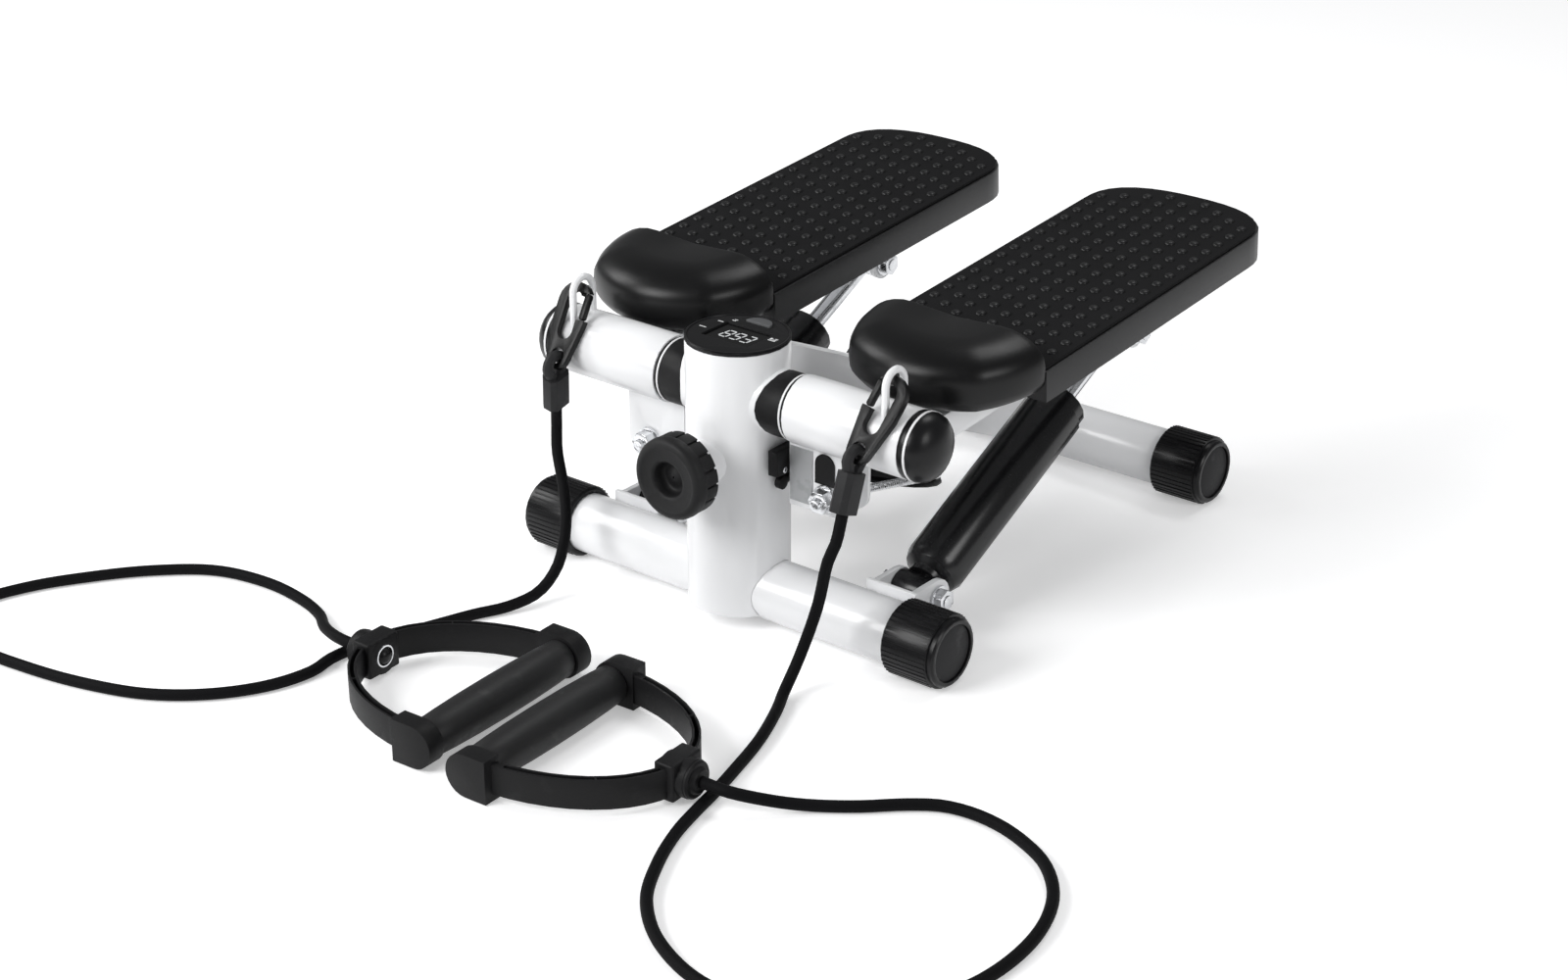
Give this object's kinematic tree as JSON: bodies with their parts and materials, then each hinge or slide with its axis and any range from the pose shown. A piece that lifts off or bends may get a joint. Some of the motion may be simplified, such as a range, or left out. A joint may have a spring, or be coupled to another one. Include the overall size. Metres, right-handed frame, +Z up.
{
  "type": "mini stepper",
  "caption": "Mini stepper with rope-coupled pedals, hydraulic dampers, a step height knob, a round counter display and hooked elastic bands with D-shaped handles.",
  "frame": {"origin": "on the floor, under the middle of the stepper and the handles in front of it, without the bands", "axes": "+X to the right as seen from the front, +Y from the handles to the pedals' heels, +Z up"},
  "size_m": [0.7195, 0.6804, 0.1936],
  "materials": {
    "white_enamel": "light grey-white enamel, slightly glossy",
    "damper_black": "glossy black paint",
    "bright_steel": "bright plated steel",
    "cap_black": "glossy black moulded plastic",
    "satin_black": "satin black moulded plastic",
    "tread_black": "matt black studded rubber",
    "band_black": "smooth black rubber cord",
    "hook_black": "satin black coated steel",
    "window": "smoked clear plastic",
    "panel": "dark grey display",
    "rope_steel": "twisted steel wire"
  },
  "bodies": {
    "base": {"front_cross_tube": "white_enamel", "rear_cross_tube": "white_enamel", "post": "white_enamel", "main_beam": "white_enamel", "foot_cap_front_left": "cap_black", "foot_cap_front_right": "cap_black", "foot_cap_rear_left": "cap_black", "foot_cap_rear_right": "cap_black", "pivot_shaft": "bright_steel", "display_housing": "satin_black", "display_window": "window", "display_panel": "panel", "switch_body": "satin_black", "pulley_bolt": "bright_steel", "drive_rope": "rope_steel", "inner_bush_left": "satin_black", "inner_bush_right": "satin_black", "damper_bracket_left": "white_enamel", "damper_bracket_right": "white_enamel", "lower_bolt_left": "bright_steel", "lower_bolt_right": "bright_steel", "band_left": "band_black", "band_right": "band_black", "handle_frame_left": "satin_black", "handle_frame_right": "satin_black"},
    "pulley_wheel": {"pulley": "satin_black"},
    "step_knob": {"adjuster_knob": "satin_black", "adjuster_screw": "bright_steel"},
    "mode_button": {"display_button": "satin_black"},
    "counter_lever": {"switch_lever": "satin_black"},
    "pedal_left": {"pivot_sleeve_left": "white_enamel", "pedal_arm_left": "white_enamel", "pedal_plate_left": "satin_black", "tread_mat_left": "tread_black", "toe_cup_left": "cap_black", "end_dome_left": "cap_black", "upper_bolt_left": "bright_steel", "rope_nut_left": "bright_steel", "hook_left": "hook_black", "cord_clamp_left": "satin_black"},
    "damper_left": {"damper_body_left": "damper_black"},
    "rod_left": {"piston_rod_left": "bright_steel"},
    "gate_left": {"hook_gate_left": "hook_black"},
    "grip_left": {"handle_grip_left": "satin_black"},
    "pedal_right": {"pivot_sleeve_right": "white_enamel", "pedal_arm_right": "white_enamel", "pedal_plate_right": "satin_black", "tread_mat_right": "tread_black", "toe_cup_right": "cap_black", "end_dome_right": "cap_black", "upper_bolt_right": "bright_steel", "rope_nut_right": "bright_steel", "hook_right": "hook_black", "cord_clamp_right": "satin_black"},
    "damper_right": {"damper_body_right": "damper_black"},
    "rod_right": {"piston_rod_right": "bright_steel"},
    "gate_right": {"hook_gate_right": "hook_black"},
    "grip_right": {"handle_grip_right": "satin_black"}
  },
  "joints": [
    {"name": "pedal_left_swing", "type": "hinge", "parent": "base", "child": "pedal_left", "pos_m": [-0.1, -0.04229, 0.1463], "axis": [1, 0, 0], "range_deg": [-10, 10], "deforming": ["band_left", "drive_rope"]},
    {"name": "pedal_right_swing", "type": "hinge", "parent": "base", "child": "pedal_right", "pos_m": [0.1, -0.04229, 0.1463], "axis": [1, 0, 0], "range_deg": [-10, 10], "deforming": ["band_right"]},
    {"name": "damper_left_pivot", "type": "hinge", "parent": "base", "child": "damper_left", "pos_m": [-0.1, 0.0027, 0.026], "axis": [1, 0, 0], "range_deg": [-9.6, 9.6]},
    {"name": "rod_left_slide", "type": "slide", "parent": "damper_left", "child": "rod_left", "axis": [0, 0.9002, 0.4355], "range_m": [-0.0225, 0.0225]},
    {"name": "damper_right_pivot", "type": "hinge", "parent": "base", "child": "damper_right", "pos_m": [0.1, 0.0027, 0.026], "axis": [1, 0, 0], "range_deg": [-9.6, 9.6]},
    {"name": "rod_right_slide", "type": "slide", "parent": "damper_right", "child": "rod_right", "axis": [0, 0.9002, 0.4355], "range_m": [-0.0225, 0.0225]},
    {"name": "pulley_spin", "type": "hinge", "parent": "base", "child": "pulley_wheel", "pos_m": [0, 0.08571, 0.056], "axis": [0, 0.3014, 0.9535], "range_deg": [-10.5, 10.5]},
    {"name": "knob_turn", "type": "hinge", "parent": "base", "child": "step_knob", "pos_m": [0, -0.09009, 0.1098], "axis": [0, -1, 0], "continuous": true},
    {"name": "button_press", "type": "slide", "parent": "base", "child": "mode_button", "axis": [0, 0, -1], "range_m": [0, 0.001], "stiffness_N_per_m": 400, "springref_m": -0.001},
    {"name": "lever_press", "type": "hinge", "parent": "base", "child": "counter_lever", "pos_m": [0.03555, -0.03, 0.10095], "axis": [-1, 0, 0], "range_deg": [0, 6], "stiffness_Nm_per_rad": 0.05},
    {"name": "gate_left_open", "type": "hinge", "parent": "pedal_left", "child": "gate_left", "pos_m": [-0.11001, -0.05726, 0.16688], "axis": [0, -0.8532, 0.5216], "range_deg": [0, 8], "stiffness_Nm_per_rad": 0.05, "springref_deg": -5.73},
    {"name": "gate_right_open", "type": "hinge", "parent": "pedal_right", "child": "gate_right", "pos_m": [0.10708, -0.05636, 0.16835], "axis": [0, 0.8532, -0.5216], "range_deg": [0, 8], "stiffness_Nm_per_rad": 0.05, "springref_deg": -5.73},
    {"name": "grip_left_spin", "type": "hinge", "parent": "base", "child": "grip_left", "pos_m": [-0.0223, -0.2333, 0.0135], "axis": [-0.0523, 0.9986, 0], "continuous": true},
    {"name": "grip_right_spin", "type": "hinge", "parent": "base", "child": "grip_right", "pos_m": [0.0216, -0.2376, 0.0135], "axis": [-0.0523, 0.9986, 0], "continuous": true}
  ],
  "couplings": [
    {"joint": "pedal_right_swing", "follows": "pedal_left_swing", "ratio": -1},
    {"joint": "damper_left_pivot", "follows": "pedal_left_swing", "ratio": 0.951},
    {"joint": "rod_left_slide", "follows": "pedal_left_swing", "m_per_rad": 0.1272},
    {"joint": "damper_right_pivot", "follows": "pedal_left_swing", "ratio": -0.951},
    {"joint": "rod_right_slide", "follows": "pedal_left_swing", "m_per_rad": -0.1272},
    {"joint": "pulley_spin", "follows": "pedal_left_swing", "ratio": -1.016}
  ]
}
